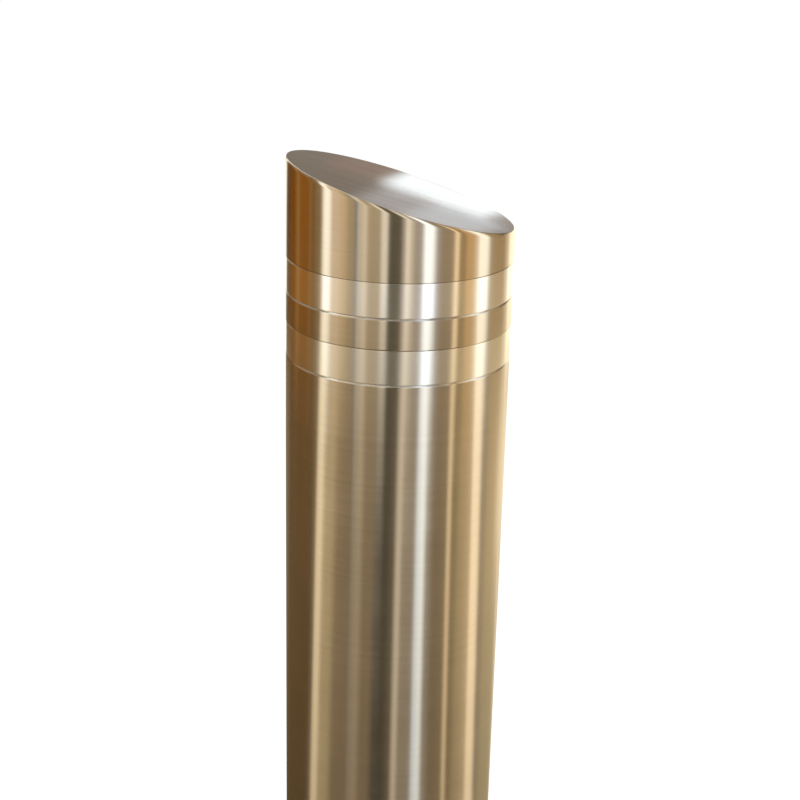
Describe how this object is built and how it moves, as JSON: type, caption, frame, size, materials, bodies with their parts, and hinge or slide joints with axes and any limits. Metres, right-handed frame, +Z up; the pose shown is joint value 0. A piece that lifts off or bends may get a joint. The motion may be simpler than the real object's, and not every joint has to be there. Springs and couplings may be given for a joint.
{
  "type": "retractable bollard",
  "caption": "Stainless bollard with a slanted flat cap and recessed bands, raised by a hydraulic ram out of a casing set in the ground.",
  "frame": {"origin": "centre of the underside of the casing's base plate", "axes": "+Z up along the post; the slanted cap's high side faces -X, the conduit +Y and the drain +X"},
  "size_m": [0.34, 0.34, 1.602],
  "materials": {
    "stainless": "satin, brushed round the tube and along the cap's plate",
    "reflective_film": "satin film in a shallow groove",
    "galvanised": "hot-dip galvanised, dull",
    "zinc": "zinc plated",
    "black_enamel": "stoved enamel, semi-gloss",
    "hard_chrome": "ground and hard chromed",
    "bronze": "turned bronze",
    "rubber": "moulded, matt",
    "nylon": "turned, natural",
    "sensor_plastic": "moulded, satin"
  },
  "bodies": {
    "casing": {"anchor_bar_1": "galvanised", "anchor_bar_2": "galvanised", "anchor_bar_3": "galvanised", "anchor_bar_4": "galvanised", "bottom_buffer_1": "rubber", "bottom_buffer_2": "rubber", "bottom_buffer_3": "rubber", "bush_housing": "galvanised", "casing_barrel": "galvanised", "casing_base_plate": "galvanised", "casing_top_flange": "galvanised", "conduit_stub": "galvanised", "core_bottom_plate": "galvanised", "cover_flange": "stainless", "cover_gasket": "rubber", "cover_screw_1": "zinc", "cover_screw_2": "zinc", "cover_screw_3": "zinc", "cover_screw_4": "zinc", "cover_screw_5": "zinc", "cover_screw_6": "zinc", "drain_stub": "galvanised", "guide_rod_1": "hard_chrome", "guide_rod_2": "hard_chrome", "guide_rod_3": "hard_chrome", "hydraulic_port": "zinc", "lower_end_sensor": "sensor_plastic", "post_guide_bush": "nylon", "ram_base": "black_enamel", "ram_base_nut": "zinc", "ram_head": "black_enamel", "ram_tube": "black_enamel", "rod_nut_1": "zinc", "rod_nut_2": "zinc", "rod_nut_3": "zinc", "sensor_rail": "galvanised", "stop_collar_1": "zinc", "stop_collar_2": "zinc", "stop_collar_3": "zinc", "upper_end_sensor": "sensor_plastic", "wiper_ring": "rubber"},
    "post": {"cap_spigot_ring": "galvanised", "crosshead_plate": "galvanised", "crosshead_screw_1": "zinc", "crosshead_screw_2": "zinc", "crosshead_screw_3": "zinc", "foot_bush_1": "bronze", "foot_bush_2": "bronze", "foot_bush_3": "bronze", "foot_flange": "galvanised", "lower_reflective_band": "reflective_film", "piston": "black_enamel", "piston_nut": "zinc", "piston_rod": "hard_chrome", "piston_seal_1": "rubber", "piston_seal_2": "rubber", "post_tube": "stainless", "rod_end_nut": "zinc", "slanted_cap": "stainless", "upper_reflective_band": "reflective_film"}
  },
  "joints": [
    {"name": "post_slide", "type": "slide", "parent": "casing", "child": "post", "axis": [0, 0, 1], "range_m": [-0.6, 0]}
  ]
}
